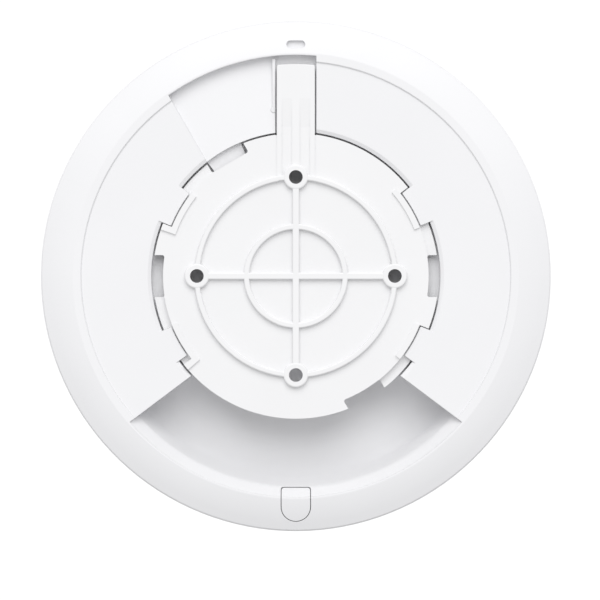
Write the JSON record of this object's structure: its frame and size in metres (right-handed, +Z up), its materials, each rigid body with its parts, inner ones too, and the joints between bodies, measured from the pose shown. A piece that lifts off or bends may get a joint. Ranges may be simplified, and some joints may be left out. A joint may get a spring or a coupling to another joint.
{
  "type": "ceiling access point",
  "caption": "Round ceiling wireless access point with a bayonet mounting bracket, sprung latch arm, cable pocket with side knockout, network socket and domed front with a light ring.",
  "frame": {"origin": "centre of the four ceiling screw holes, on the ceiling plane that the bracket's bosses rest on", "axes": "+Z up into the ceiling, +Y from the centre towards the latch arm and release slot, -Y towards the cable knockout, +X to the right seen from the ceiling side"},
  "size_m": [0.16, 0.16, 0.0315],
  "materials": {
    "cover_white": "fine matte texture",
    "bracket_white": "satin moulded",
    "dome_white": "smooth satin",
    "inner_white": "moulded",
    "light_diffuser": "translucent diffuser",
    "circuit_board": "solder mask",
    "tinned_steel": "tin plated sheet",
    "thermal_pad": "soft pad",
    "spreader_aluminium": "bead blasted",
    "chip_black": "moulded package",
    "ferrite_black": "dull",
    "capacitor_aluminium": "bright sleeve",
    "crystal_steel": "plated can",
    "screw_steel": "zinc plated",
    "jack_steel": "nickel plated sheet",
    "jack_black": "moulded",
    "contact_gold": "gold flash",
    "button_grey": "moulded",
    "antenna_brass": "stamped",
    "emitter_clear": "clear package"
  },
  "bodies": {
    "bracket": {"mounting_bracket": "bracket_white"},
    "latch": {"latch_arm": "bracket_white"},
    "housing": {"rear_cover": "cover_white", "front_cover": "dome_white", "centre_cap": "dome_white", "status_light_ring": "light_diffuser", "light_shield": "inner_white", "main_board": "circuit_board", "processor_shield_can": "tinned_steel", "radio_shield_can_low_band": "tinned_steel", "radio_shield_can_high_band": "tinned_steel", "thermal_pads": "thermal_pad", "heat_spreader": "spreader_aluminium", "processor_chip": "chip_black", "memory_chips": "chip_black", "radio_chips": "chip_black", "power_transformer": "ferrite_black", "power_capacitors": "capacitor_aluminium", "power_inductors": "ferrite_black", "crystal_oscillators": "crystal_steel", "board_screws": "screw_steel", "network_jack_shell": "jack_steel", "network_jack_insert": "jack_black", "jack_contacts": "contact_gold", "reset_switch": "ferrite_black", "low_band_antennas": "antenna_brass", "high_band_antennas": "antenna_brass", "light_emitters": "emitter_clear"},
    "knockout": {"cable_knockout": "cover_white"},
    "reset": {"reset_button": "button_grey"}
  },
  "joints": [
    {"name": "housing_twist", "type": "hinge", "parent": "bracket", "child": "housing", "pos_m": [0, 0, 0], "axis": [0, 0, -1], "range_deg": [0, 30], "deforming": ["latch_arm"]},
    {"name": "latch_flex", "type": "hinge", "parent": "bracket", "child": "latch", "pos_m": [0, 0.044, -0.0012], "axis": [1, 0, 0], "range_deg": [0, 3], "stiffness_Nm_per_rad": 1, "springref_deg": -1.15},
    {"name": "knockout_removal", "type": "slide", "parent": "housing", "child": "knockout", "axis": [0, 0, 1], "range_m": [0, 0.008]},
    {"name": "reset_press", "type": "slide", "parent": "housing", "child": "reset", "axis": [0, 1, 0], "range_m": [0, 0.0003], "stiffness_N_per_m": 400, "springref_m": -0.0005}
  ]
}
